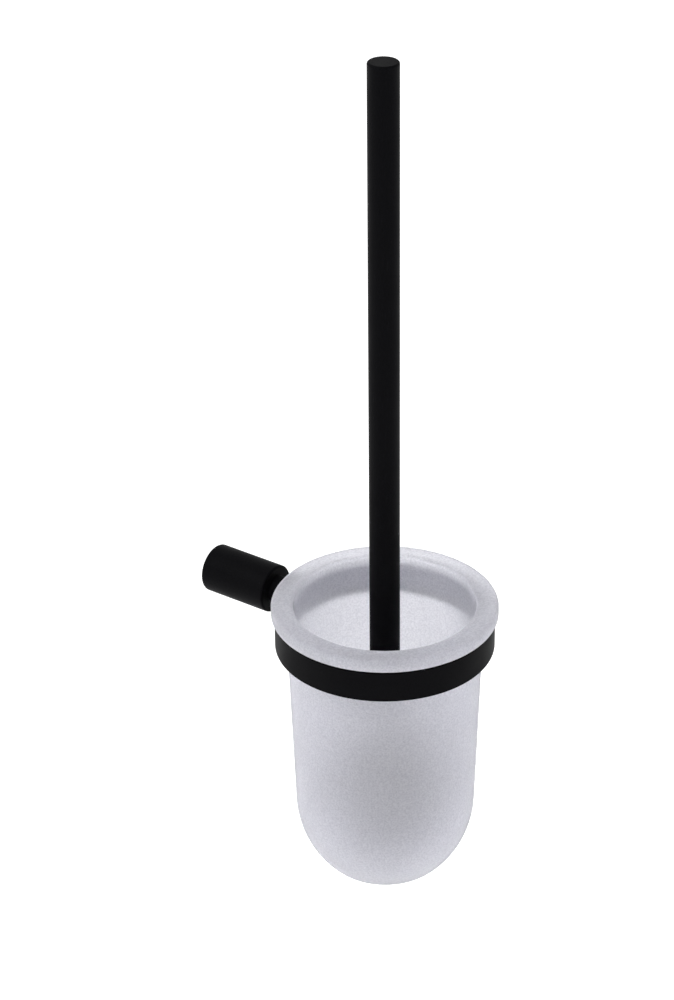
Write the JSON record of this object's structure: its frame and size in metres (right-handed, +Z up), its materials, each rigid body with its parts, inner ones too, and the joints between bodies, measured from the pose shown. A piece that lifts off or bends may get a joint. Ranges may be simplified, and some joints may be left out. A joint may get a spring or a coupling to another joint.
{
  "type": "toilet brush holder",
  "caption": "Wall-mounted toilet brush set: a round post carries a flat ring that holds a lift-out frosted glass cup and a long-handled brush.",
  "frame": {"origin": "middle of the post where it meets the wall, on the mouth of the screw hole in the wall boss", "axes": "+Z up; +Y into the wall, so the holder stands out towards -Y; +X to the right when facing the wall"},
  "size_m": [0.1, 0.1445, 0.3894],
  "materials": {
    "black_coat": "matt black powder coat",
    "frosted_glass": "clear glass, etched all over to a fine matt frost",
    "grey_liner": "soft pale grey silicone",
    "bare_steel": "turned, zinc plated",
    "head_plastic": "moulded, satin",
    "bristles": "dark grey nylon monofilament"
  },
  "bodies": {
    "holder": {"wall_boss": "bare_steel", "post": "black_coat", "grub_screw": "bare_steel", "locating_pin": "bare_steel", "neck": "black_coat", "ring": "black_coat", "ring_screw": "bare_steel", "ring_liner": "grey_liner"},
    "cup": {"cup": "frosted_glass"},
    "brush_head": {"head_core": "head_plastic", "tuft_row_1": "bristles", "tuft_row_2": "bristles", "tuft_row_3": "bristles", "tuft_row_4": "bristles", "tuft_row_5": "bristles", "tuft_row_6": "bristles", "tuft_row_7": "bristles", "tuft_row_8": "bristles", "tip_tufts": "bristles"},
    "stud": {"thread_stud": "bare_steel"},
    "handle": {"handle_tube": "black_coat", "handle_cap": "black_coat", "handle_insert": "bare_steel"}
  },
  "joints": [
    {"name": "cup_lift", "type": "slide", "parent": "holder", "child": "cup", "axis": [0, 0, 1], "range_m": [0, 0.145]},
    {"name": "brush_lift", "type": "slide", "parent": "cup", "child": "brush_head", "axis": [0, 0, 1], "range_m": [0, 0.15]},
    {"name": "handle_rise", "type": "slide", "parent": "brush_head", "child": "stud", "axis": [0, 0, 1], "range_m": [0, 0.013]},
    {"name": "handle_unscrew", "type": "hinge", "parent": "stud", "child": "handle", "pos_m": [0, -0.0945, -0.04], "axis": [0, 0, 1], "range_deg": [0, 4681]}
  ],
  "couplings": [
    {"joint": "handle_unscrew", "follows": "handle_rise", "rad_per_m": 6283.2}
  ]
}
